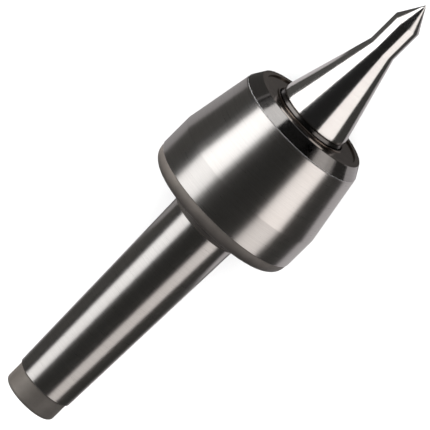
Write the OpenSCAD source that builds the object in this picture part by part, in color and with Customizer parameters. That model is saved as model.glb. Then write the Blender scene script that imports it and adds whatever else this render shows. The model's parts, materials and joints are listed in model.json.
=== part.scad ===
// Live centre with a Morse taper shank, in millimetres.
// The axis of rotation is X, and +X points to the tip. The origin is on the axis at the gauge line
// of the Morse taper, where the taper has its nominal large diameter.

/* [Morse taper shank] */
// Diameter of the taper at the gauge line
gauge_d = 31.267; // [28:0.001:38]
// Change of the taper's diameter for each millimetre of length
taper_rate = 0.05194; // [0.045:0.0001:0.06]
// Distance from the gauge line back to the end of the shank
gauge_to_end = 102.5; // [85:0.5:125]
// Distance from the gauge line forward to the rear face of the body
gauge_to_body = 7.5; // [3:0.5:12]
// Diameter of the unground collar between the taper and the body
collar_d = 31.6; // [31.5:0.1:40]
// Distance from the gauge line forward to the rear edge of the collar
collar_edge = 1.5; // [0.5:0.1:2.5]
// Radius of the fillet where the collar meets the body
collar_fillet = 0.8; // [0.2:0.1:1.5]
// Diameter of the relieved end behind the taper
relief_d = 25; // [20:0.5:25.5]
// Length of the relieved end
relief_l = 10; // [5:0.5:14]
// Length of the chamfer between the taper and the relieved end
relief_step_l = 0.6; // [0.2:0.1:1]
// Radius of the rounded rear edge of the shank
end_round = 1.6; // [0.5:0.1:2.5]

/* [Drawbar hole] */
// Nominal diameter of the drawbar thread
drawbar_d = 16; // [12:1:18]
// Length of the drawbar thread
drawbar_l = 30; // [16:1:36]
// Diameter of the plain recess at the mouth
drawbar_mouth_d = 17.5; // [17:0.1:21]
// Depth of the plain recess at the mouth
drawbar_mouth_l = 3.5; // [1:0.5:6]
// Depth of the drilled end beyond the thread
drawbar_drill_l = 4; // [2:0.5:8]
// Diameter of the drilled end beyond the thread
drawbar_drill_d = 14; // [10:0.5:16]

/* [Body] */
// Diameter of the ground cylinder, the largest diameter
body_d = 70; // [66:1:90]
// Length of the ground cylinder
ground_l = 14.1; // [8:0.1:24]
// Length of the unground rim behind the ground cylinder
rim_l = 6.4; // [6.1:0.1:12]
// Amount that the unground rim lies below the ground cylinder, on the radius
rim_step = 0.35; // [0.1:0.05:1]
// Radius of the rounded rear corner of the body
rear_round = 5; // [2:0.5:6]
// Length of the nose cone
nose_l = 30; // [30:0.5:40]
// Angle of the nose cone to the axis
nose_angle = 10; // [2:0.5:10]

/* [Nose nut] */
// Length of the nut's bevelled flange
nut_flange_l = 5.3; // [4:0.1:10]
// Angle of the nut's bevel to the axis
nut_bevel_angle = 30; // [10:1:30]
// Width of the small chamfer on the nut's front edge
nut_edge = 0.1; // [0.05:0.05:0.6]
// Nominal diameter of the thread between nut and housing
nut_thread_d = 50; // [49.5:0.5:52]
// Length of the nut's threaded spigot
nut_spigot_l = 6; // [5:0.5:7]
// Chamfer on the end of the spigot
nut_spigot_chamfer = 0.6; // [0.2:0.1:1]
// Gap between the spigot's thread end and the step in the housing
nut_end_gap = 0.5; // [0.2:0.1:1]
// Diameter of the hole in the web that clamps the outer races
nut_web_d = 38.4; // [36:0.1:42]
// Thickness of the O-ring
o_ring_t = 1.4; // [1:0.1:1.6]
// Width of the O-ring groove
o_groove_w = 1.8; // [1.7:0.1:2.2]
// Distance of the O-ring groove behind the joint
o_groove_offset = 0.4; // [0.2:0.1:1]
// Gap on the radius inside and outside the O-ring
o_clear = 0.025; // [0.01:0.005:0.05]

/* [Cover plate] */
// Radial width of the cover plate outside its bore
cover_w = 7.15; // [7:0.05:7.5]
// Thickness of the cover plate
cover_t = 1.5; // [1:0.1:1.6]
// Depth of the cover plate below the front face of the nut
cover_recess = 0.6; // [0.3:0.1:1]
// Radius of the rounded bead round the cover plate's bore
cover_bead_r = 0.5; // [0.4:0.1:1]
// Radial gap between the cover plate and the flinger ring
cover_gap = 0.5; // [0.3:0.05:0.7]

/* [Shaft seal] */
// Radial height of the seal
seal_h = 6; // [5.8:0.1:6.2]
// Width of the seal
seal_w = 7; // [6:0.1:7.5]
// Thickness of the seal's sheet metal case
seal_case_t = 0.8; // [0.5:0.1:1]
// Radial height of the case's front leg
seal_leg_h = 3.5; // [3:0.1:4]
// Distance from the front of the seal back to its sealing edge
seal_edge_l = 4.5; // [4:0.1:4.8]
// Radial height of the sealing edge's wedge
seal_wedge_h = 1.1; // [0.8:0.1:1.3]
// Radial gap between the sealing edge and the spindle
seal_edge_gap = 0.04; // [0.02:0.01:0.08]
// Radius of the garter spring's section
seal_spring_r = 0.6; // [0.4:0.05:0.8]

/* [Spindle] */
// Included angle of the point
point_angle = 60; // [50:1:75]
// Diameter of the neck behind the point
neck_d = 12.5; // [8:0.5:18]
// Length of the neck
neck_l = 14.5; // [4:0.5:24]
// Angle of the spindle's cone to the axis
cone_angle = 15; // [12:0.5:30]
// Height of the land above the seal journal, on the radius
land_h = 1.3; // [1:0.1:3]
// Length of the land at the foot of the cone
land_l = 1.6; // [1.2:0.1:6]
// Radius of the land's rear corner
land_round = 0.2; // [0.1:0.1:1]
// Radius of the curve between the cone and the land
cone_round = 10; // [1:0.5:12]
// Gap between the front face of the nut and the land
land_gap = 1.8; // [1:0.1:4]
// Height of the seal journal above the bearing seat, on the radius
journal_h = 2.5; // [2.3:0.1:2.8]
// Height of the flinger ring's head above the seal journal
flinger_h = 1.5; // [1.2:0.1:2]
// Height of the flinger ring's sleeve above the seal journal
flinger_sleeve_h = 0.6; // [0.4:0.1:0.8]
// Length of the flinger ring's head
flinger_head_l = 1.2; // [0.8:0.1:1.3]
// Angle of the head's outside to the axis
flinger_head_angle = 25; // [10:1:25]
// Width of the groove between the head and the land
flinger_groove_w = 0.6; // [0.3:0.1:0.8]
// Distance that the spindle's tail reaches past the needle bearing
tail_over = 4; // [2:0.5:8]
// Chamfer on the end of the tail
tail_chamfer = 0.8; // [0.3:0.1:1.5]
// Free length of the housing's bore behind the tail
tail_room = 6; // [2:0.5:10]

/* [Angular contact bearings] */
// Bore of each bearing
race_bore_d = 25; // [20:0.5:25.5]
// Outside diameter of each bearing
race_od = 47; // [47:0.1:49]
// Width of each bearing
race_w = 12; // [10:0.5:12]
// Diameter of the balls
ball_d = 6.35; // [5:0.05:7.7]
// Least space between neighbouring balls
ball_space = 1.6; // [1.2:0.1:2.4]
// Radial gap between each race's high shoulder and the cage
race_cage_gap = 0.8; // [0.5:0.1:1]
// Radial thickness of the cage
cage_t = 2; // [1.6:0.1:2.4]
// Wall of the cage on each side of a ball
cage_side = 1.2; // [0.8:0.1:1.6]
// Height of the low shoulder that keeps the balls in the outer race
low_lip = 0.35; // [0.2:0.05:0.5]
// Chamfer on the edges of the races and the lock nut
race_chamfer = 0.5; // [0.2:0.1:0.8]

/* [Lock nut] */
// Thickness of the tab washer
lock_washer_t = 1.2; // [1:0.1:1.6]
// Radial height of the tab washer's ring
lock_washer_h = 4; // [3:0.1:5]
// Number of teeth on the tab washer
lock_washer_teeth = 11; // [7:1:15]
// Width of a tooth
lock_tooth_w = 4.6; // [3:0.1:5]
// Distance that a tooth reaches past the nut
lock_tooth_over = 1.8; // [1:0.1:2.5]
// Width of the keyway in the spindle for the tab washer's inner tab
keyway_w = 5; // [3:0.5:6]
// Depth of the keyway
keyway_h = 1.8; // [1.2:0.1:2.4]
// Gap between the inner tab and the keyway, on each side
keyway_gap = 0.1; // [0.05:0.05:0.2]
// Thickness of the lock nut
lock_nut_l = 6; // [4:0.5:6]
// Radial height of the lock nut
lock_nut_h = 6.5; // [5:0.1:7]
// Number of slots in the lock nut
lock_slots = 4; // [3:1:6]
// Width of a slot
lock_slot_w = 5; // [3:0.5:6]
// Depth of a slot
lock_slot_h = 2; // [1:0.1:2.5]
// Gap between the lock nut and the thrust bearing's shoulder
lock_nut_gap = 0.3; // [0.2:0.1:1]
// Gap round the tab washer's teeth in the housing
lock_room = 0.5; // [0.3:0.1:1]

/* [Thrust bearing] */
// Bore of the shaft washer
thrust_bore_d = 17; // [14:0.5:17.5]
// Outside diameter of the housing washer
thrust_od = 30; // [29:0.5:36]
// Height of the thrust bearing
thrust_h = 9; // [8:0.5:9.5]
// Diameter of the thrust balls
thrust_ball_d = 4.76; // [4:0.05:5]
// Least space between neighbouring thrust balls
thrust_ball_space = 1.3; // [1:0.1:2]
// Depth of the ball groove in each washer
thrust_groove = 0.6; // [0.4:0.05:0.9]
// Thickness of the thrust cage
thrust_cage_t = 2; // [1.4:0.1:2.4]
// Radial gap inside and outside the thrust cage
thrust_cage_gap = 0.6; // [0.4:0.1:0.8]
// Gap on the radius between a washer and the piece that it turns past
thrust_turn_gap = 0.3; // [0.2:0.05:0.6]
// Thickness of the disc spring
spring_t = 0.6; // [0.4:0.05:0.8]
// Free height of the disc spring
spring_h = 1.1; // [0.9:0.05:1.4]
// Gap on the radius outside the disc spring
spring_gap = 0.2; // [0.1:0.05:0.5]

/* [Needle bearing] */
// Step from the thrust bearing's seat down to the needle journal, on the radius
needle_step = 1; // [0.6:0.1:1.6]
// Diameter of the rollers
needle_d = 2; // [1.6:0.1:2.5]
// Length of the rollers
needle_l = 12; // [8:0.5:16]
// Least space between neighbouring rollers
needle_space = 0.9; // [0.6:0.1:1.4]
// Wall of the drawn cup
needle_cup_t = 1; // [0.8:0.1:1.2]
// Width of the drawn cup
needle_cup_w = 16; // [15:0.5:22]
// Radial thickness of the roller cage
needle_cage_t = 1.1; // [0.8:0.1:1.3]
// Distance between the thrust bearing's floor and the drawn cup
needle_offset = 14.4; // [6:0.1:20]
// Radial height of the cup's folded lips
needle_lip_h = 1.4; // [1:0.1:1.6]

/* [Fits] */
// Gap on the radius between a piece and the seat or groove that holds it
seat_clear = 0.02; // [0.01:0.005:0.04]
// Gap between a ball or roller and its raceway
roll_clear = 0.03; // [0.02:0.005:0.05]
// Gap between a ball or roller and its pocket in the cage
pocket_clear = 0.12; // [0.08:0.01:0.2]
// Radius of a ball groove as a multiple of the ball's diameter
groove_conformity = 0.52; // [0.515:0.005:0.54]

/* [Hidden] */

$fn = 96;
// Overshoot of a cut past the face that it opens
cut = 1;
// Half angle of a drilled hole's end
drill_angle = 59;

// Places along the axis, from the shank's end to the tip
x_end = -gauge_to_end;
x_rim = gauge_to_body + rim_l;
x_nose = x_rim + ground_l;
x_joint = x_nose + nose_l;
x_nut = x_joint + nut_flange_l;
x_land = x_nut + land_gap;

// Places of the inner pieces, from the joint back to the end of the bore
x_race_front = x_joint - nut_spigot_l;
x_race_mid = x_race_front - race_w;
x_race_rear = x_race_mid - race_w;
x_lock_nut = x_race_rear - lock_washer_t;
x_thrust = x_lock_nut - lock_nut_l - lock_nut_gap;
x_spring = x_thrust - thrust_h;
x_floor = x_spring - spring_h;
x_needle = x_floor - needle_offset;
x_tail = x_needle - needle_cup_w - tail_over;
x_bore_end = x_tail - tail_room;
x_cover_front = x_nut - cover_recess;
x_cover_back = x_cover_front - cover_t;
x_seal_edge = x_cover_back - seal_edge_l;

// Radii of the body and the nut
body_r = body_d / 2;
rim_r = body_r - rim_step;
joint_r = body_r - nose_l * tan(nose_angle);
nut_front_r = joint_r - nut_flange_l * tan(nut_bevel_angle);
thread_r = nut_thread_d / 2;

// Radii of the spindle
seat_r = race_bore_d / 2;
journal_r = seat_r + journal_h;
land_r = journal_r + land_h;
neck_r = neck_d / 2;
thrust_seat_r = thrust_bore_d / 2;
tail_r = thrust_seat_r - needle_step;
flinger_r = journal_r + flinger_h;

// Places of the spindle's front end
x_cone = x_land + land_l;
x_neck = x_cone + (land_r - neck_r) / tan(cone_angle);
x_point = x_neck + neck_l;
x_tip = x_point + neck_r / tan(point_angle / 2);

// Curve between the cone and the land, no longer than the land allows
curve_r = min(cone_round, (land_l - land_round) / tan(cone_angle / 2));
curve_l = curve_r * sin(cone_angle);
curve_drop = curve_r * (1 - cos(cone_angle));
x_curve = x_cone - curve_r * tan(cone_angle / 2);

// Radii round the spindle at the front
seal_r = journal_r + seal_h;
seal_leg_r = seal_r - seal_leg_h;
seal_edge_r = journal_r + seal_edge_gap;
cover_bore_r = flinger_r + cover_gap;
cover_r = cover_bore_r + cover_w;

// Angular contact bearings
race_r = race_od / 2;
pitch_r = (seat_r + race_r) / 2;
ball_r = ball_d / 2;
ball_groove_r = ball_d * groove_conformity;
shoulder = cage_t / 2 + race_cage_gap;
ball_count = floor(2 * PI * pitch_r / (ball_d + ball_space));

// Lock nut
lock_nut_r = seat_r + lock_nut_h;
lock_tooth_r = lock_nut_r + lock_tooth_over;
lock_cavity_r = lock_tooth_r + lock_room;

// Thrust bearing
thrust_r = thrust_od / 2;
thrust_pitch_r = (thrust_seat_r + thrust_r) / 2;
thrust_ball_r = thrust_ball_d / 2;
thrust_washer_t = (thrust_h - thrust_ball_d) / 2 + thrust_groove - roll_clear;
thrust_count = floor(2 * PI * thrust_pitch_r / (thrust_ball_d + thrust_ball_space));
thrust_mid = x_thrust - thrust_h / 2;

// Needle bearing
needle_r = needle_d / 2;
needle_pitch_r = tail_r + roll_clear + needle_r;
needle_cup_r = needle_pitch_r + needle_r + roll_clear + needle_cup_t;
needle_count = floor(2 * PI * needle_pitch_r / (needle_d + needle_space));
needle_mid = x_needle - needle_cup_w / 2;

// Colours of the materials
ground_steel = [0.72, 0.71, 0.71];
hardened_steel = [0.78, 0.77, 0.76];
plate_brown = [0.36, 0.33, 0.30];
dark_steel = [0.30, 0.30, 0.32];
bright_steel = [0.85, 0.85, 0.86];
cage_brass = [0.78, 0.62, 0.30];
seal_rubber = [0.12, 0.12, 0.13];

// Turns a section about the X axis; its first coordinate is the radius, its second the place on X
module turned() {
    rotate([0, 90, 0]) rotate_extrude() children();
}

// Repeats a piece evenly round the X axis
module around(count) {
    for (i = [0 : count - 1]) rotate([360 / count * i, 0, 0]) children();
}

// Rectangular section between two radii and two places on X
module band(r_in, r_out, x_low, x_high) {
    translate([r_in, x_low]) square([r_out - r_in, x_high - x_low]);
}

// Rectangular section with its four corners chamfered
module chamfered_band(r_in, r_out, x_low, x_high, c) {
    polygon([[r_in + c, x_low], [r_out - c, x_low], [r_out, x_low + c], [r_out, x_high - c],
        [r_out - c, x_high], [r_in + c, x_high], [r_in, x_high - c], [r_in, x_low + c]]);
}

// Section of the outside of the body and shank
module housing_outline() {
    end_r = relief_d / 2;
    collar_r = collar_d / 2;
    x_relief = x_end + relief_l;
    relief_taper_r = (gauge_d + taper_rate * x_relief) / 2;
    collar_taper_r = (gauge_d + taper_rate * collar_edge) / 2;
    polygon([[0, x_end], [end_r - end_round, x_end], [end_r, x_end + end_round],
        [end_r, x_relief - relief_step_l], [relief_taper_r, x_relief], [collar_taper_r, collar_edge],
        [collar_r, collar_edge], [collar_r, gauge_to_body], [rim_r - rear_round, gauge_to_body],
        [rim_r, gauge_to_body + rear_round], [rim_r, x_rim], [body_r, x_rim], [body_r, x_nose],
        [joint_r, x_joint], [0, x_joint]]);
    // rounded rear edge of the shank
    translate([end_r - end_round, x_end + end_round]) circle(end_round);
    // rounded rear corner of the body
    translate([rim_r - rear_round, gauge_to_body + rear_round]) circle(rear_round);
    // fillet between the collar and the body
    difference() {
        band(collar_r, collar_r + collar_fillet, gauge_to_body - collar_fillet, gauge_to_body);
        translate([collar_r + collar_fillet, gauge_to_body - collar_fillet]) circle(collar_fillet);
    }
}

// Section of the bearing chamber in the housing, open at the joint
module chamber_section() {
    polygon([[0, x_joint + cut], [thread_r, x_joint + cut], [thread_r, x_race_front - nut_end_gap],
        [race_r + seat_clear, x_race_front - nut_end_gap], [race_r + seat_clear, x_race_rear],
        [lock_cavity_r, x_race_rear], [lock_cavity_r, x_thrust - lock_nut_gap],
        [thrust_r + seat_clear, x_thrust - lock_nut_gap], [thrust_r + seat_clear, x_floor],
        [needle_cup_r + seat_clear, x_floor], [needle_cup_r + seat_clear, x_bore_end],
        [0, x_bore_end]]);
}

// Section of the drawbar hole in the shank's end
module drawbar_section() {
    hole_r = drawbar_d / 2;
    mouth_r = drawbar_mouth_d / 2;
    drill_r = drawbar_drill_d / 2;
    x_mouth = x_end + drawbar_mouth_l;
    x_thread = x_mouth + drawbar_l;
    x_drill = x_thread + drawbar_drill_l;
    polygon([[0, x_end - cut], [mouth_r, x_end - cut], [mouth_r, x_mouth],
        [hole_r, x_mouth + mouth_r - hole_r], [hole_r, x_thread], [drill_r, x_thread],
        [drill_r, x_drill], [0, x_drill + drill_r / tan(drill_angle)]]);
}

module shank_housing() {
    color(ground_steel) turned() difference() {
        housing_outline();
        chamber_section();
        drawbar_section();
    }
}

module front_nut() {
    outer = thread_r - seat_clear;
    groove_r = thread_r - o_ring_t - 2 * o_clear;
    x_groove = x_joint - o_groove_offset;
    x_web = x_cover_back - seal_w;
    color(hardened_steel) turned() difference() {
        polygon([[nut_web_d / 2, x_race_front], [outer - nut_spigot_chamfer, x_race_front],
            [outer, x_race_front + nut_spigot_chamfer], [outer, x_joint], [joint_r, x_joint],
            [nut_front_r, x_nut - nut_edge], [nut_front_r - nut_edge, x_nut],
            [cover_r + seat_clear, x_nut], [cover_r + seat_clear, x_cover_back],
            [seal_r + seat_clear, x_cover_back], [seal_r + seat_clear, x_web],
            [nut_web_d / 2, x_web]]);
        band(groove_r, thread_r + cut, x_groove - o_groove_w, x_groove);
    }
}

module nut_o_ring() {
    center_r = thread_r - o_clear - o_ring_t / 2;
    color(seal_rubber) turned()
        translate([center_r, x_joint - o_groove_offset - o_groove_w / 2]) circle(o_ring_t / 2);
}

module dust_cover_plate() {
    color(plate_brown) turned() {
        band(cover_bore_r, cover_r, x_cover_back, x_cover_front);
        translate([cover_bore_r + cover_bead_r, x_cover_front]) circle(cover_bead_r);
    }
}

module seal_case() {
    color(dark_steel) turned() {
        band(seal_r - seal_case_t, seal_r, x_cover_back - seal_w, x_cover_back);
        band(seal_leg_r, seal_r, x_cover_back - seal_case_t, x_cover_back);
    }
}

module seal_lip() {
    wedge_r = seal_edge_r + seal_wedge_h;
    color(seal_rubber) turned() difference() {
        polygon([[seal_leg_r, x_cover_back], [wedge_r, x_cover_back],
            [seal_edge_r + seal_wedge_h / 2, x_cover_back - seal_wedge_h],
            [wedge_r, x_seal_edge + seal_wedge_h], [seal_edge_r, x_seal_edge],
            [wedge_r, x_seal_edge - seal_wedge_h], [seal_leg_r, x_seal_edge - seal_wedge_h]]);
        translate([seal_leg_r, x_seal_edge]) circle(seal_spring_r + seat_clear);
    }
}

module seal_spring() {
    color(bright_steel) turned() translate([seal_leg_r, x_seal_edge]) circle(seal_spring_r);
}

// Section of the spindle
module spindle_section() {
    difference() {
        polygon([[0, x_tail], [tail_r - tail_chamfer, x_tail], [tail_r, x_tail + tail_chamfer],
            [tail_r, x_floor], [thrust_seat_r, x_floor], [thrust_seat_r, x_thrust],
            [seat_r, x_thrust], [seat_r, x_race_front], [journal_r, x_race_front],
            [journal_r, x_land], [land_r, x_land], [land_r, x_curve],
            [land_r - curve_drop, x_curve + curve_l], [neck_r, x_neck], [neck_r, x_point],
            [0, x_tip]]);
        // square corner removed where the land is rounded
        band(land_r - land_round, land_r + cut, x_land - cut, x_land + land_round);
    }
    translate([land_r - land_round, x_land + land_round]) circle(land_round);
    // curve between the cone and the land
    translate([land_r - curve_r, x_curve]) intersection() {
        circle(curve_r);
        square([curve_r, curve_l]);
    }
}

module spindle() {
    color(hardened_steel) difference() {
        turned() spindle_section();
        // keyway for the tab washer
        translate([x_thrust - cut, -keyway_w / 2, seat_r - keyway_h])
            cube([x_race_rear - x_thrust + cut, keyway_w, keyway_h + cut]);
    }
}

module flinger_ring() {
    bore_r = journal_r + seat_clear;
    sleeve_r = journal_r + flinger_sleeve_h;
    x_head = x_land - flinger_groove_w;
    x_head_back = x_head - flinger_head_l;
    color(bright_steel) turned()
        polygon([[bore_r, x_cover_back], [sleeve_r, x_cover_back], [sleeve_r, x_head_back],
            [flinger_r, x_head_back],
            [flinger_r - flinger_head_l * tan(flinger_head_angle), x_head], [sleeve_r, x_head],
            [sleeve_r, x_land], [bore_r, x_land]]);
}

// Outer race of an angular contact bearing; side is 1 where the high shoulder is towards the tip
module outer_race(x_mid, side) {
    low_r = pitch_r + ball_r - low_lip;
    center_r = pitch_r + ball_r + roll_clear - ball_groove_r;
    c = race_chamfer;
    half = race_w / 2;
    color(bright_steel) turned() translate([0, x_mid]) mirror([0, side < 0 ? 1 : 0]) difference() {
        polygon([[pitch_r + shoulder, half], [race_r - c, half], [race_r, half - c],
            [race_r, c - half], [race_r - c, -half], [low_r, -half], [low_r, 0],
            [pitch_r + shoulder, 0]]);
        translate([center_r, 0]) circle(ball_groove_r);
    }
}

module inner_race(x_mid) {
    center_r = pitch_r - ball_r - roll_clear + ball_groove_r;
    bore_r = seat_r + seat_clear;
    top_r = pitch_r - shoulder;
    c = race_chamfer;
    half = race_w / 2;
    color(bright_steel) turned() translate([0, x_mid]) difference() {
        polygon([[bore_r + c, -half], [top_r, -half], [top_r, half], [bore_r + c, half],
            [bore_r, half - c], [bore_r, c - half]]);
        translate([center_r, 0]) circle(ball_groove_r);
    }
}

module ball_cage(x_mid) {
    half = ball_r + pocket_clear + cage_side;
    color(cage_brass) difference() {
        turned() band(pitch_r - cage_t / 2, pitch_r + cage_t / 2, x_mid - half, x_mid + half);
        around(ball_count) translate([x_mid, 0, pitch_r - cage_t])
            cylinder(h = 2 * cage_t, r = ball_r + pocket_clear);
    }
}

module ball_set(x_mid) {
    color(bright_steel) around(ball_count) translate([x_mid, 0, pitch_r]) sphere(ball_r);
}

module front_outer_race() {
    outer_race((x_race_front + x_race_mid) / 2, -1);
}

module front_inner_race() {
    inner_race((x_race_front + x_race_mid) / 2);
}

module front_cage() {
    ball_cage((x_race_front + x_race_mid) / 2);
}

module front_balls() {
    ball_set((x_race_front + x_race_mid) / 2);
}

module second_outer_race() {
    outer_race((x_race_mid + x_race_rear) / 2, 1);
}

module second_inner_race() {
    inner_race((x_race_mid + x_race_rear) / 2);
}

module second_cage() {
    ball_cage((x_race_mid + x_race_rear) / 2);
}

module second_balls() {
    ball_set((x_race_mid + x_race_rear) / 2);
}

module lock_washer() {
    ring_r = seat_r + lock_washer_h;
    color(dark_steel) {
        turned() band(seat_r + seat_clear, ring_r, x_lock_nut, x_race_rear);
        around(lock_washer_teeth)
            translate([x_lock_nut, -lock_tooth_w / 2, ring_r - cut])
                cube([lock_washer_t, lock_tooth_w, lock_tooth_r - ring_r + cut]);
        // inner tab in the spindle's keyway
        translate([x_lock_nut, keyway_gap - keyway_w / 2, seat_r - keyway_h + keyway_gap])
            cube([lock_washer_t, keyway_w - 2 * keyway_gap, keyway_h + cut]);
    }
}

module lock_nut() {
    color(dark_steel) difference() {
        turned() chamfered_band(seat_r + seat_clear, lock_nut_r, x_lock_nut - lock_nut_l,
            x_lock_nut, race_chamfer);
        around(lock_slots)
            translate([x_lock_nut - lock_nut_l - cut, -lock_slot_w / 2, lock_nut_r - lock_slot_h])
                cube([lock_nut_l + 2 * cut, lock_slot_w, lock_slot_h + cut]);
    }
}

// Washer of the thrust bearing with its ball groove on the +X side
module thrust_washer(bore_r, outer_r) {
    groove_r = thrust_ball_d * groove_conformity;
    x_face = thrust_washer_t - thrust_h / 2;
    difference() {
        band(bore_r, outer_r, -thrust_h / 2, x_face);
        translate([thrust_pitch_r, x_face - thrust_groove + groove_r]) circle(groove_r);
    }
}

module thrust_shaft_washer() {
    color(bright_steel) turned() translate([0, thrust_mid]) mirror([0, 1])
        thrust_washer(thrust_seat_r + seat_clear, thrust_r - thrust_turn_gap);
}

module thrust_housing_washer() {
    color(bright_steel) turned() translate([0, thrust_mid])
        thrust_washer(thrust_seat_r + thrust_turn_gap, thrust_r);
}

module thrust_cage() {
    color(cage_brass) difference() {
        turned() band(thrust_seat_r + thrust_cage_gap, thrust_r - thrust_cage_gap,
            thrust_mid - thrust_cage_t / 2, thrust_mid + thrust_cage_t / 2);
        around(thrust_count) translate([thrust_mid - thrust_cage_t, 0, thrust_pitch_r])
            rotate([0, 90, 0]) cylinder(h = 2 * thrust_cage_t, r = thrust_ball_r + pocket_clear);
    }
}

module thrust_balls() {
    color(bright_steel) around(thrust_count) translate([thrust_mid, 0, thrust_pitch_r])
        sphere(thrust_ball_r);
}

module disc_spring() {
    in_r = thrust_seat_r + thrust_turn_gap;
    out_r = thrust_r - spring_gap;
    color(dark_steel) turned()
        polygon([[in_r, x_spring - spring_t], [in_r, x_spring], [out_r, x_floor + spring_t],
            [out_r, x_floor]]);
}

module needle_cup() {
    lip_r = needle_cup_r - needle_cup_t - needle_lip_h;
    x_back = x_needle - needle_cup_w;
    color(dark_steel) turned() difference() {
        band(lip_r, needle_cup_r, x_back, x_needle);
        band(lip_r - cut, needle_cup_r - needle_cup_t, x_back + needle_cup_t,
            x_needle - needle_cup_t);
    }
}

module needle_cage() {
    half = needle_l / 2 + pocket_clear;
    pocket = needle_d + 2 * pocket_clear;
    in_r = needle_pitch_r - needle_cage_t / 2;
    color(cage_brass) difference() {
        turned() band(in_r, in_r + needle_cage_t, needle_mid - half - needle_cage_t / 2,
            needle_mid + half + needle_cage_t / 2);
        around(needle_count) translate([needle_mid - half, -pocket / 2, in_r - cut])
            cube([2 * half, pocket, needle_cage_t + 2 * cut]);
    }
}

module needle_rollers() {
    color(bright_steel) around(needle_count)
        translate([needle_mid - needle_l / 2, 0, needle_pitch_r])
            rotate([0, 90, 0]) cylinder(h = needle_l, r = needle_r);
}

shank_housing();
front_nut();
nut_o_ring();
dust_cover_plate();
seal_case();
seal_lip();
seal_spring();
spindle();
flinger_ring();
front_outer_race();
front_inner_race();
front_cage();
front_balls();
second_outer_race();
second_inner_race();
second_cage();
second_balls();
lock_washer();
lock_nut();
thrust_shaft_washer();
thrust_cage();
thrust_balls();
thrust_housing_washer();
disc_spring();
needle_cup();
needle_cage();
needle_rollers();
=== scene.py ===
"""Looks of the live center: fine turned meshes, ground and unground steel, and a plain studio.

Everything is in metres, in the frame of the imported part: the axis of rotation is X, +X is the tip,
+Z is up, and the origin is at the gauge line of the Morse taper."""

import json
import math

import bmesh
import bpy
import numpy as np
from mathutils import Matrix, Vector


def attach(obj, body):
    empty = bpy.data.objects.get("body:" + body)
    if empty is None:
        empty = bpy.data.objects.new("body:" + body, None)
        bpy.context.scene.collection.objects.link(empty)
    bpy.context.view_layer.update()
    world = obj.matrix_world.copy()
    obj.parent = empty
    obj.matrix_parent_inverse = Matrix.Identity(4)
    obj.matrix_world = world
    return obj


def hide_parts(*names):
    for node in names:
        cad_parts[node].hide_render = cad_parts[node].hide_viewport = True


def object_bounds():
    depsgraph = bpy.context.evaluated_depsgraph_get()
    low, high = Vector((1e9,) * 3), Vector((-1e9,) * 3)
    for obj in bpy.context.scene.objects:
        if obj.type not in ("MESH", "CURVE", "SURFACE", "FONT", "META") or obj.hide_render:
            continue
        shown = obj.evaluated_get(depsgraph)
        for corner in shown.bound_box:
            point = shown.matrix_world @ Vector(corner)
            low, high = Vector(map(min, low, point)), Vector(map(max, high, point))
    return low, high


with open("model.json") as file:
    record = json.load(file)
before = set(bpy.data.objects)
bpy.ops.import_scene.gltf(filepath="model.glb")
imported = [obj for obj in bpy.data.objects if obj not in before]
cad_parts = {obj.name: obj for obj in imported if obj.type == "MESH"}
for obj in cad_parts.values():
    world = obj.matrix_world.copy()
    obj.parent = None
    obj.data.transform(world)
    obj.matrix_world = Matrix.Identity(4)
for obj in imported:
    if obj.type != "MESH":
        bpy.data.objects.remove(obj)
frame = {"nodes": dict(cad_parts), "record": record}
cad_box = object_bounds()
low, high = cad_box

MM = 0.001

AROUND = 240                # segments round a turned piece
SAME_PLACE = 0.002 * MM     # points of a CAD mesh nearer than this are one point
MERGE = 0.02 * MM           # points of a section nearer than this are one point
RING_POINTS = 12            # a ring of no more mesh points belongs to a keyway or the like
RING_REACH = 0.06 * MM      # a cut's point is this near to its ring at most
CUT_ANGLE = 0.3             # angle of the cut for a section, in radians, away from the seam
STRAIGHT = math.radians(2)  # a bend smaller than this is no corner
CORNER = math.radians(14)   # a bend larger than this is a corner that gets an edge radius
CURVE_STEP = 15             # degrees of bend for each step of an edge radius
CURVE_SHARE = 0.45          # share of a straight stretch that an edge radius takes at most
SUPPORT = 0.12 * MM         # distance of the supporting loop from each end of a straight stretch


def new_object(name, data):
    """An object in the scene for a new mesh, light or camera."""
    made = bpy.data.objects.new(name, data)
    bpy.context.scene.collection.objects.link(made)
    return made


# ---------------------------------------------------------------- sections and turned meshes

def exact_rings(work):
    """The rings of points of a turned bmesh, as an array of rows (x, r)."""
    rings = {}
    for v in work.verts:
        x, r = v.co.x, math.hypot(v.co.y, v.co.z)
        rings.setdefault((round(x / MERGE), round(r / MERGE)), []).append((x, r))
    return np.array([np.mean(ring, axis=0) for ring in rings.values() if len(ring) > RING_POINTS])


def half_cut(work, out):
    """Cuts a turned bmesh with the plane through X and out, and gives the points of the cut on the
    side of out, in the order in which edges join them."""
    for normal, clear in ((out, True), (out.cross(Vector((1, 0, 0))), False)):
        geometry = [*work.verts, *work.edges, *work.faces]
        cut = bmesh.ops.bisect_plane(work, geom=geometry, plane_co=(0, 0, 0), plane_no=normal,
                                     clear_inner=clear)["geom_cut"]
    near = {}
    for edge in cut:
        if isinstance(edge, bmesh.types.BMEdge):
            for one, other in (edge.verts, reversed(edge.verts)):
                near.setdefault(one, []).append(other)
    ends = [v for v in near if len(near[v]) == 1]
    walk = [ends[0] if ends else next(iter(near))]
    while True:
        onward = [v for v in near[walk[-1]] if v not in walk[-2:] and v is not walk[0]]
        if not onward:
            return walk
        walk.append(onward[0])


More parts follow.
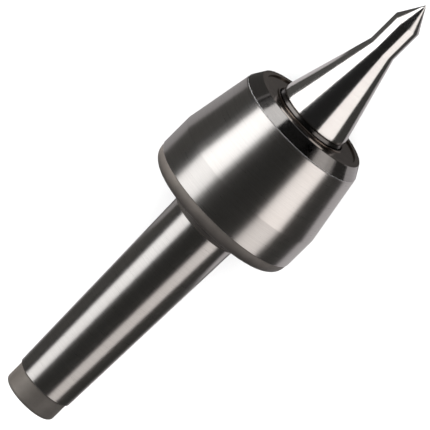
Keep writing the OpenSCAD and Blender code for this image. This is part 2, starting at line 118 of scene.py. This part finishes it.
def section(node):
    """The closed section of a turned CAD node, as points (x, r): a cut through its mesh, with each
    point moved onto the nearest ring of mesh points, in order, towards +X on the outside."""
    work = bmesh.new()
    work.from_mesh(frame["nodes"][node].data)
    bmesh.ops.remove_doubles(work, verts=work.verts, dist=SAME_PLACE)
    rings = exact_rings(work)
    out = Vector((0, math.cos(CUT_ANGLE), math.sin(CUT_ANGLE)))
    points = []
    for v in half_cut(work, out):
        here = np.array((v.co.x, v.co.dot(out)))
        if here[1] < MERGE:
            found = Vector((here[0], 0.0))
        else:
            away = np.linalg.norm(rings - here, axis=1)
            if away.min() > RING_REACH:
                continue
            found = Vector(rings[away.argmin()])
        if not points or (found - points[-1]).length > MERGE:
            points.append(found)
    work.free()
    if (points[0] - points[-1]).length <= MERGE:
        points.pop()
    area = sum(a.x * b.y - b.x * a.y for a, b in zip(points, points[1:] + points[:1]))
    return points[::-1] if area > 0 else points


def bend(a, b, c):
    """Angle by which the line a-b-c turns at b."""
    return (b - a).angle(c - b, 0.0)


def corners_only(points):
    """The section without the points that lie on straight stretches."""
    n = len(points)
    return [points[i] for i in range(n)
            if bend(points[i - 1], points[i], points[(i + 1) % n]) > STRAIGHT]


def rounded(points, zones, radius):
    """The section with a small radius on each corner; radius is a number or a function of a corner.
    zones[i] is the zone of the stretch after points[i], here and in what comes back."""
    made, made_zones = [], []
    n = len(points)
    for i, here in enumerate(points):
        before, after = points[i - 1], points[(i + 1) % n]
        turn = bend(before, here, after)
        if turn < CORNER or here.y < MERGE:
            made.append(here)
            made_zones.append(zones[i])
            continue
        r = radius(here) if callable(radius) else radius
        room = CURVE_SHARE * min((here - before).length, (after - here).length)
        back = min(r * math.tan(turn / 2), room)
        steps = max(2, math.ceil(math.degrees(turn) / CURVE_STEP))
        a = here + (before - here).normalized() * back
        c = here + (after - here).normalized() * back
        for k in range(steps + 1):
            t = k / steps
            # quadratic curve through the corner, close to an arc at these sizes
            made.append(a * (1 - t) ** 2 + here * (2 * t * (1 - t)) + c * t * t)
            made_zones.append(zones[i - 1] if t < 0.5 else zones[i])
    return made, made_zones


def supported(points, zones):
    """The section with extra points near the ends of its straight stretches, so they shade flat."""
    made, made_zones = [], []
    n = len(points)
    for i, a in enumerate(points):
        b = points[(i + 1) % n]
        made.append(a)
        if (b - a).length > 4 * SUPPORT:
            along = (b - a).normalized() * SUPPORT
            made.extend([a + along, b - along])
        made_zones.extend([zones[i]] * (len(made) - len(made_zones)))
    return made, made_zones


def turned(name, node, body, radius, zones_of, materials):
    """A fine mesh turned about X in the shape of a turned CAD node, with a radius on each edge, in
    the CAD node's place. zones_of(points) gives the zone of each stretch of the section, which is
    the place of its material in materials."""
    points = corners_only(section(node))
    points, zones = supported(*rounded(points, zones_of(points), radius))
    verts, rows = [], []
    for p in points:
        on_axis = p.y < MERGE
        rows.append(range(len(verts), len(verts) + (1 if on_axis else AROUND)))
        for k in range(len(rows[-1])):
            angle = 2 * math.pi * k / AROUND
            verts.append((p.x, p.y * math.sin(angle), -p.y * math.cos(angle)))
    faces, slots = [], []
    for here, there, zone in zip(rows, rows[1:] + rows[:1], zones):
        if len(here) == len(there) == 1:
            continue
        for k in range(AROUND):
            m = (k + 1) % AROUND
            corners = (here[k % len(here)], here[m % len(here)],
                       there[m % len(there)], there[k % len(there)])
            faces.append(list(dict.fromkeys(corners)))      # a triangle where a row is one point
            slots.append(zone)
    mesh = bpy.data.meshes.new(name)
    mesh.from_pydata(verts, [], faces)
    for material in materials:
        mesh.materials.append(material)
    mesh.polygons.foreach_set("material_index", slots)
    mesh.polygons.foreach_set("use_smooth", [True] * len(faces))
    mesh.update()
    work = bmesh.new()
    work.from_mesh(mesh)
    bmesh.ops.recalc_face_normals(work, faces=work.faces)
    work.to_mesh(mesh)
    work.free()
    piece = new_object(name, mesh)
    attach(piece, body)
    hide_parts(node)
    return piece


# ---------------------------------------------------------------- materials

# colour sockets of a Mix node
MIX_A, MIX_B, MIX_RESULT = 6, 7, 2


class Shader:
    """A material's node tree, with short calls to add nodes and join them."""

    def __init__(self, name):
        self.material = bpy.data.materials.new(name)
        self.material.use_nodes = True
        self.tree = self.material.node_tree
        self.bsdf = self.tree.nodes["Principled BSDF"]
        self.place = self.add("ShaderNodeTexCoord").outputs["Object"]

    def put(self, socket, value):
        """Joins another node's socket to this one, or sets it to a value."""
        if isinstance(value, bpy.types.NodeSocket):
            self.tree.links.new(value, socket)
        else:
            socket.default_value = value

    def add(self, kind, inputs=(), **settings):
        """A new node with these inputs and settings."""
        node = self.tree.nodes.new(kind)
        for key, value in settings.items():
            setattr(node, key, value)
        for key, value in dict(inputs).items():
            self.put(node.inputs[key], value)
        return node

    def surface(self, **inputs):
        """Sets inputs of the surface; an underscore stands for a space."""
        for key, value in inputs.items():
            self.put(self.bsdf.inputs[key.replace("_", " ")], value)

    def noise(self, scale, detail=3.0, rough=0.55, place=None):
        inputs = {"Vector": place or self.place, "Scale": scale,
                  "Detail": detail, "Roughness": rough}
        return self.add("ShaderNodeTexNoise", inputs).outputs["Fac"]

    def turning_lines(self, pitch, wander=0.02):
        """Noise drawn out round the axis, as left by grinding or turning. pitch is in metres, and
        wander is how fast the lines change round the axis."""
        parts = self.add("ShaderNodeSeparateXYZ", {"Vector": self.place}).outputs
        across = self.add("ShaderNodeCombineXYZ", {"Y": parts["Y"], "Z": parts["Z"]})
        radius = self.add("ShaderNodeVectorMath", {0: across.outputs[0]}, operation="LENGTH")
        along = self.calc("ADD", parts["X"], radius.outputs["Value"])
        vector = self.add("ShaderNodeCombineXYZ", {
            "X": along, "Y": self.calc("MULTIPLY", parts["Y"], wander),
            "Z": self.calc("MULTIPLY", parts["Z"], wander)})
        return self.noise(1 / pitch, detail=4.0, rough=0.65, place=vector.outputs[0])

    def calc(self, operation, a, b):
        return self.add("ShaderNodeMath", {0: a, 1: b}, operation=operation).outputs[0]

    def spread(self, value, low_end, high_end, start=0.3, end=0.7):
        """value from start..end mapped to low_end..high_end"""
        return self.add("ShaderNodeMapRange", {"Value": value, "From Min": start, "From Max": end,
                                               "To Min": low_end, "To Max": high_end}).outputs[0]

    def blend(self, share, a, b):
        """Colour that goes from a to b by share; a is a colour or a socket."""
        colour = a if isinstance(a, bpy.types.NodeSocket) else (*a, 1)
        inputs = {"Factor": share, MIX_A: colour, MIX_B: (*b, 1)}
        return self.add("ShaderNodeMix", inputs, data_type="RGBA").outputs[MIX_RESULT]

    def bump(self, height, depth, under=None):
        """Normal for a relief of this depth, on top of the normal under it."""
        inputs = {"Height": height, "Distance": depth, "Strength": 1.0}
        if under is not None:
            inputs["Normal"] = under
        return self.add("ShaderNodeBump", inputs).outputs["Normal"]

    def turned_tangent(self):
        return self.add("ShaderNodeTangent", direction_type="RADIAL", axis="X").outputs[0]


def ground(name, dark, light, roughness, anisotropy, pitch, depth):
    """Steel ground or turned about X: bright, with fine lines round the axis."""
    brown = (0.36, 0.31, 0.27)
    quarter_turn = 0.25     # rougher along X than round it, as the lines leave it
    s = Shader(name)
    lines = s.turning_lines(pitch)
    fine = s.turning_lines(pitch / 5, wander=0.05)
    cloud = s.noise(scale=60.0)
    both = s.calc("ADD", s.calc("MULTIPLY", lines, 0.6), s.calc("MULTIPLY", fine, 0.4))
    colour = s.blend(s.spread(both, 0, 1), dark, light)
    colour = s.blend(s.spread(cloud, 0, 0.12), colour, brown)
    normal = s.bump(both, depth)
    s.surface(Base_Color=colour, Metallic=1.0, Normal=normal,
              Roughness=s.spread(both, roughness - 0.04, roughness + 0.04),
              Anisotropic=anisotropy, Anisotropic_Rotation=quarter_turn,
              Tangent=s.turned_tangent())
    return s.material


def unground(name, dark, light, shade_span=None):
    """Hardened steel as it came from the furnace: matte grey scale with a faint grain. Where two
    places on X are given, painted shade darkens the scale from the second to the first."""
    # near-black colour of the painted shade
    painted_shade = (0.012, 0.010, 0.009)
    s = Shader(name)
    patch = s.noise(scale=90.0, detail=5.0, rough=0.6)
    grain = s.noise(scale=2600.0, detail=2.0)
    lines = s.turning_lines(pitch=0.7 * MM)
    colour = s.blend(s.spread(patch, 0, 1), dark, light)
    # painted shade: darker along X towards the first of the two places
    if shade_span:
        along = s.add("ShaderNodeSeparateXYZ", {"Vector": s.place}).outputs["X"]
        colour = s.blend(s.spread(along, 0.65, 0, *shade_span), colour, painted_shade)
    normal = s.bump(grain, depth=0.010 * MM)
    normal = s.bump(lines, depth=0.012 * MM, under=normal)
    s.surface(Base_Color=colour, Metallic=0.30, Normal=normal,
              Roughness=s.spread(grain, 0.42, 0.56))
    return s.material


def rolled(name, dark, light, roughness):
    """Sheet or drawn steel with a cloudy finish."""
    s = Shader(name)
    patch = s.noise(scale=140.0, detail=4.0)
    grain = s.noise(scale=1900.0)
    lines = s.turning_lines(pitch=0.5 * MM, wander=0.04)
    colour = s.blend(s.spread(patch, 0, 1), dark, light)
    normal = s.bump(grain, depth=0.006 * MM)
    normal = s.bump(lines, depth=0.006 * MM, under=normal)
    s.surface(Base_Color=colour, Metallic=1.0, Normal=normal,
              Roughness=s.spread(grain, roughness - 0.06, roughness + 0.06))
    return s.material


def rubber(name, dark, light):
    """Matte rubber with a little dust."""
    s = Shader(name)
    grain = s.noise(scale=1500.0, detail=4.0)
    dust = s.noise(scale=220.0, detail=5.0)
    colour = s.blend(s.spread(dust, 0, 1, 0.45, 0.8), dark, light)
    s.surface(Base_Color=colour, Roughness=s.spread(dust, 0.55, 0.75),
              Normal=s.bump(grain, depth=0.02 * MM))
    return s.material


# each finish varies between the two colours
body_steel = ground("body_ground", (0.49, 0.48, 0.47), (0.62, 0.605, 0.59),
                    roughness=0.30, anisotropy=0.75, pitch=0.35 * MM, depth=0.0010 * MM)
spindle_steel = ground("spindle_ground", (0.76, 0.75, 0.74), (0.88, 0.87, 0.86),
                       roughness=0.19, anisotropy=0.70, pitch=0.25 * MM, depth=0.0006 * MM)
nut_steel = ground("nut_polished", (0.32, 0.315, 0.31), (0.40, 0.39, 0.38),
                   roughness=0.15, anisotropy=0.60, pitch=0.3 * MM, depth=0.0005 * MM)
bore_steel = ground("bore_turned", (0.30, 0.29, 0.28), (0.44, 0.43, 0.42),
                    roughness=0.38, anisotropy=0.50, pitch=0.9 * MM, depth=0.0040 * MM)
scale_steel = unground("unground_scale", (0.066, 0.059, 0.053), (0.100, 0.090, 0.081))
# the rim's scale, with painted shade darkening it towards the rear of the body's rounding
rim_scale_and_shade = unground("rim_scale_painted_shade", (0.080, 0.071, 0.064), (0.120, 0.107, 0.097),
                     shade_span=(8.5 * MM, 13.5 * MM))
# the collar's scale painted near black: painted shade in the corner between the taper and the body's
# rear face
collar_shade_steel = unground("collar_scale_painted_shade", (0.012, 0.011, 0.010), (0.022, 0.020, 0.018))
# light steel on the housing's face at the joint: a painted highlight, the bright line along the
# joint with the nut
joint_highlight_steel = unground("joint_painted_highlight", (0.56, 0.57, 0.59), (0.68, 0.69, 0.71))
flinger_steel = ground("flinger_turned", (0.12, 0.115, 0.11), (0.17, 0.165, 0.16),
                       roughness=0.24, anisotropy=0.50, pitch=0.3 * MM, depth=0.0010 * MM)
plate_steel = rolled("plate_browned", (0.16, 0.130, 0.11), (0.22, 0.18, 0.15), roughness=0.17)
face_steel = rolled("nut_face", (0.20, 0.165, 0.14), (0.27, 0.23, 0.19), roughness=0.17)
dark_steel = rolled("blackened_steel", (0.030, 0.031, 0.034), (0.060, 0.060, 0.064),
                    roughness=0.38)
bearing_steel = ground("bearing_polished", (0.62, 0.62, 0.63), (0.74, 0.74, 0.75),
                       roughness=0.14, anisotropy=0.40, pitch=0.4 * MM, depth=0.0006 * MM)
cage_brass = ground("cage_brass", (0.58, 0.40, 0.15), (0.76, 0.56, 0.24),
                    roughness=0.30, anisotropy=0.35, pitch=0.5 * MM, depth=0.0020 * MM)
seal_rubber = rubber("seal_rubber", (0.018, 0.018, 0.019), (0.050, 0.049, 0.048))

FINISHES = {
    "ground_steel": body_steel, "hardened_steel": spindle_steel, "nut_steel": nut_steel,
    "plate_steel": plate_steel, "bearing_steel": bearing_steel, "dark_steel": dark_steel,
    "cage_brass": cage_brass, "seal_rubber": seal_rubber,
}
for part in frame["record"]["subparts"]:
    cad_mesh = frame["nodes"][part["node"]].data
    cad_mesh.materials.clear()
    cad_mesh.materials.append(FINISHES[part["material_slot"]])


# ---------------------------------------------------------------- pieces

NOSE_R = 26 * MM            # the outside of the nose and of its nut lies further out than this
NOSE_X = 50 * MM            # the front end of the nose lies in front of this
GROUND_LENGTH = 10 * MM     # a ground stretch of the housing's outside is longer than this
LENGTHWISE = 0.9            # and has at least this share of its length along X
CROSSWISE = 0.05            # a face has less than this share of its length along X

# materials of the housing, and the places of the zones in that list
HOUSING_STEELS = [body_steel, rim_scale_and_shade, bore_steel, collar_shade_steel, joint_highlight_steel, scale_steel]
GROUND, RIM, BORES, COLLAR, JOINT_FACE, SHANK_END = range(6)

# materials of the nut, and the places of the zones in that list
NUT_STEELS = [nut_steel, face_steel]
BEVEL, REST_OF_NUT = range(2)


def one_zone(points):
    return [0] * len(points)


def housing_zones(points):
    """Zone of each stretch of the housing. Its outside runs from the rear end of the shank to the
    joint with the nut; the rest is bores."""
    shank_end = max((p.y, i) for i, p in enumerate(points) if p.x - low.x < MERGE)[1]
    joint_x = max(p.x for p in points)
    joint = max((p.y, i) for i, p in enumerate(points) if joint_x - p.x < MERGE)[1]
    zones = []
    behind_body = False
    for i, a in enumerate(points):
        stretch = points[(i + 1) % len(points)] - a
        along = stretch.x / stretch.length
        if not shank_end - 1 <= i <= joint:
            zones.append(BORES)
        elif along > LENGTHWISE and stretch.length > GROUND_LENGTH:
            zones.append(GROUND)
            behind_body = a.x < 0
        elif i == joint:
            zones.append(JOINT_FACE)
        else:
            # the collar is what lies between the taper and the rear face of the body
            behind_body = behind_body and along >= CROSSWISE
            zones.append(COLLAR if behind_body else RIM if a.x > 0 else SHANK_END)
    return zones


def housing_edge(p):
    """Edge radius at a corner of the housing: larger at the ends of the ground body."""
    if p.y > high.z - MERGE:
        return 0.35 * MM
    if p.y > NOSE_R and p.x > NOSE_X:
        return 0.9 * MM
    return 0.18 * MM


def nut_zones(points):
    """Zone of each stretch of the nut: the bevel is its outside, and the rest is the front face and
    all that lies inside."""
    zones = []
    for i, a in enumerate(points):
        b = points[(i + 1) % len(points)]
        outside = b.x > a.x and min(a.y, b.y) > NOSE_R
        zones.append(BEVEL if outside else REST_OF_NUT)
    return zones


def drawbar_thread():
    """The turns of the M16 x 2 thread, a ridge wound on the plain wall of the drawbar hole."""
    pitch = 2.0 * MM
    root_r, crest_r = 8.0 * MM, 6.92 * MM
    root_half, crest_half = 0.9 * MM, 0.125 * MM        # half the width of the ridge
    start, end = -98.0 * MM, -70.5 * MM
    steps = 72                                          # in each turn
    ridge = [(-root_half, root_r), (-crest_half, crest_r),
             (crest_half, crest_r), (root_half, root_r)]
    n = len(ridge)
    verts, faces = [], []
    for k in range(int(steps * (end - start) / pitch) + 1):
        angle = 2 * math.pi * k / steps
        for dx, r in ridge:
            verts.append((start + pitch * k / steps + dx, r * math.sin(angle), r * math.cos(angle)))
        if k:
            a, b = n * (k - 1), n * k
            faces.extend([(a + j, a + (j + 1) % n, b + (j + 1) % n, b + j) for j in range(n)])
    faces.extend([tuple(reversed(range(n))), tuple(range(len(verts) - n, len(verts)))])
    mesh = bpy.data.meshes.new("drawbar_thread")
    mesh.from_pydata(verts, [], faces)
    mesh.materials.append(bore_steel)
    piece = new_object("drawbar_thread", mesh)
    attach(piece, "housing")


housing = turned("housing", "shank_housing", "housing", housing_edge, housing_zones, HOUSING_STEELS)
nut = turned("nose_nut", "front_nut", "housing", 0.05 * MM, nut_zones, NUT_STEELS)
cover = turned("cover_plate", "dust_cover_plate", "housing", 0.12 * MM, one_zone, [plate_steel])
flinger = turned("flinger", "flinger_ring", "spindle", 0.05 * MM, one_zone, [flinger_steel])
drawbar_thread()

body_pieces = [housing, nut, cover]
spindle_pieces = [flinger, frame["nodes"]["spindle"]]


# ---------------------------------------------------------------- studio

FLOOR_Z = low.z
LEFT, RIGHT = 1, -1         # sides of the object, along Y
UP, DOWN = (0, 0, 1), (0, 0, -1)

WHITE = (1.0, 1.0, 1.0)
COOL = (1.0, 0.99, 0.985)
WARM = (1.0, 0.945, 0.915)
BOUNCE_TINT = (1.0, 0.95, 0.97)
FILL_TINT = (1.0, 0.97, 0.90)
WASH_TINT = (1.0, 0.97, 0.94)
FRONT_TINT = (0.92, 0.95, 1.0)
GLOW_TINT = (1.0, 0.97, 0.92)


def stage_floor():
    """A wide pale floor under the object."""
    half = 12.0
    corners = [(-half, -half), (half, -half), (half, half), (-half, half)]
    mesh = bpy.data.meshes.new("floor")
    mesh.from_pydata([(x, y, FLOOR_Z) for x, y in corners], [], [(0, 1, 2, 3)])
    s = Shader("floor_paint")
    cloud = s.noise(scale=3.0)
    s.surface(Base_Color=s.blend(cloud, (0.80, 0.80, 0.80), (0.84, 0.84, 0.84)), Roughness=0.9)
    mesh.materials.append(s.material)
    floor = new_object("floor", mesh)
    floor.visible_glossy = False
    return floor


def lit_only(pieces, *lights):
    """The lights shine on these pieces and on nothing else."""
    group = bpy.data.collections.new("lit_by_" + lights[0].name)
    for piece in pieces:
        group.objects.link(piece)
    for light in lights:
        light.light_linking.receiver_collection = group


def softbox(name, place, facing, size, radiance, colour=WHITE):
    """A flat light. Its size is width and height, width along X where it can be; radiance is what a
    mirror would show of it."""
    width, height = size
    data = bpy.data.lights.new(name, "AREA")
    data.shape = "RECTANGLE"
    data.size, data.size_y = width, height
    data.energy = radiance * math.pi * width * height
    data.color = colour
    light = new_object(name, data)
    light.location = place
    back = -Vector(facing).normalized()
    side = Vector((0, 1, 0)) if abs(back.x) > 0.9 else Vector((1, 0, 0))
    side = (side - back * side.dot(back)).normalized()
    light.rotation_mode = "QUATERNION"
    light.rotation_quaternion = Matrix((side, back.cross(side), back)).transposed().to_quaternion()
    light.visible_camera = False
    return light


def side_box(name, side, x, z, radiance, away=1.0):
    """An upright softbox beside the object, cool on the left and warm on the right. x and z are its
    reach, and away is its distance."""
    return softbox(name, (sum(x) / 2, side * away, sum(z) / 2), (0, -side, 0),
                   (x[1] - x[0], z[1] - z[0]), radiance, COOL if side == LEFT else WARM)


def floor_box(name, x, y, radiance):
    """Light that comes off the floor; x and y are its reach."""
    return softbox(name, (sum(x) / 2, sum(y) / 2, FLOOR_Z + 0.4 * MM), UP,
                   (x[1] - x[0], y[1] - y[0]), radiance, BOUNCE_TINT)


def studio(floor):
    # boxes on the left and right of the body, brighter where its nose reflects them
    heart = 0.98            # distance of the bright boxes, just in front of the others
    lit_only(body_pieces,
             side_box("left_box", LEFT, x=(-1.0, 1.9), z=(0.33, 1.52), radiance=1.44),
             side_box("left_heart", LEFT, x=(-0.22, 0.42), z=(0.34, 1.80), radiance=0.88,
                      away=heart),
             side_box("left_shoulder", LEFT, x=(-0.2, 1.0), z=(0.05, 0.33), radiance=0.13),
             side_box("left_foot", LEFT, x=(-1.0, -0.3), z=(0.25, 0.33), radiance=1.3),
             side_box("right_box", RIGHT, x=(-1.0, 1.1), z=(0.18, 1.06), radiance=0.80),
             side_box("right_heart", RIGHT, x=(-0.22, 0.40), z=(0.18, 1.15), radiance=1.05,
                      away=heart),
             side_box("right_foot", RIGHT, x=(0.4, 1.1), z=(-0.03, 0.18), radiance=0.62),
             floor_box("left_bounce", x=(-0.03, 0.055), y=(0.035, 0.09), radiance=0.31),
             floor_box("left_shank_bounce", x=(-0.12, -0.03), y=(0.012, 0.037), radiance=0.38),
             floor_box("right_bounce", x=(-0.03, 0.11), y=(-0.09, -0.035), radiance=0.52),
             floor_box("right_shank_bounce", x=(-0.12, -0.03), y=(-0.037, -0.012), radiance=0.38),
             floor_box("front_bounce", x=(0.055, 0.13), y=(-0.03, 0.03), radiance=0.07),
             softbox("body_fill", (0, 0, 4.0), DOWN, size=(8.4, 4.6), radiance=0.027,
                     colour=FILL_TINT))
    # taller boxes for the spindle
    lit_only(spindle_pieces,
             side_box("left_tall_box", LEFT, x=(-1.3, 1.9), z=(-0.02, 1.41), radiance=1.85),
             side_box("right_tall_box", RIGHT, x=(-1.3, 1.3), z=(-0.03, 1.36), radiance=1.16),
             floor_box("left_spindle_bounce", x=(0.03, 0.088), y=(0.010, 0.053), radiance=0.46),
             floor_box("right_spindle_bounce", x=(0.03, 0.14), y=(-0.045, -0.010), radiance=0.42),
             softbox("spindle_fill", (0, 0, 4.0), DOWN, size=(6.0, 4.6), radiance=0.013))
    # light on the floor alone, which takes the shadow off it
    backdrop = softbox("backdrop_light", (0, 0, 4.5), DOWN, size=(9.0, 9.0), radiance=1.5)
    backdrop.data.use_shadow = False
    lit_only([floor], backdrop)
    # low light from the left that only the matte steel takes up
    wash_place = Vector((0.6, 1.9, 0.15))
    wash = softbox("left_wash", wash_place, -wash_place, size=(1.6, 1.0), radiance=24.0,
                   colour=WASH_TINT)
    wash.visible_glossy = False
    lit_only(body_pieces, wash)
    softbox("front_box", (1.3, 0, 0.35), (-1, 0, 0), size=(1.2, 0.7), radiance=0.35,
            colour=FRONT_TINT)
    # light far behind and on the floor in front, for the views from the ends
    softbox("rear_panel", (-3.0, 0, 1.1), (1, 0, 0), size=(4.4, 2.2), radiance=0.25)
    floor_box("front_floor", x=(0.30, 1.8), y=(-0.8, 0.8), radiance=0.25)
    # light that comes back off the floor all round
    for name, side, radiance in (("left_glow", LEFT, 0.075), ("right_glow", RIGHT, 0.045)):
        softbox(name, (0, side, FLOOR_Z + 0.2 * MM), UP, (4.0, 2.0), radiance, GLOW_TINT)


def surroundings():
    """Even light all round, stronger from the front than from behind."""
    behind, in_front = 0.35, 1.55
    world = bpy.data.worlds.new("studio")
    bpy.context.scene.world = world
    world.use_nodes = True
    tree = world.node_tree
    background = tree.nodes["Background"]
    direction = tree.nodes.new("ShaderNodeTexCoord")
    parts = tree.nodes.new("ShaderNodeSeparateXYZ")
    strength = tree.nodes.new("ShaderNodeMapRange")
    strength.inputs["From Min"].default_value = -1
    strength.inputs["To Min"].default_value = behind
    strength.inputs["To Max"].default_value = in_front
    tree.links.new(direction.outputs["Generated"], parts.inputs["Vector"])
    tree.links.new(parts.outputs["X"], strength.inputs["Value"])
    tree.links.new(strength.outputs[0], background.inputs["Strength"])
    background.inputs["Color"].default_value = (*WHITE, 1)
    world.cycles_visibility.glossy = False
    bpy.context.scene.view_settings.view_transform = "Standard"


def camera():
    """A long lens, high above the object and a little in front of it."""
    tilt = math.radians(15.0)       # the tip points this much towards the viewer
    roll = math.radians(44.7)       # the axis rises by this angle in the picture
    distance = 3.287
    aim = Vector((0.0070, -0.0002, 0.0))
    towards = Vector((math.sin(tilt), 0, math.cos(tilt)))
    along = Vector((math.cos(tilt), 0, -math.sin(tilt)))
    across = Vector((0, 1, 0))
    right = along * math.cos(roll) - across * math.sin(roll)
    up = along * math.sin(roll) + across * math.cos(roll)
    data = bpy.data.cameras.new("camera")
    data.sensor_width = 36.0
    data.lens = 686.0
    data.clip_start, data.clip_end = 0.1, 60.0
    cam = new_object("camera", data)
    cam.rotation_mode = "QUATERNION"
    cam.rotation_quaternion = Matrix((right, up, towards)).transposed().to_quaternion()
    cam.location = aim + towards * distance
    bpy.context.scene.camera = cam


studio(stage_floor())
surroundings()
camera()
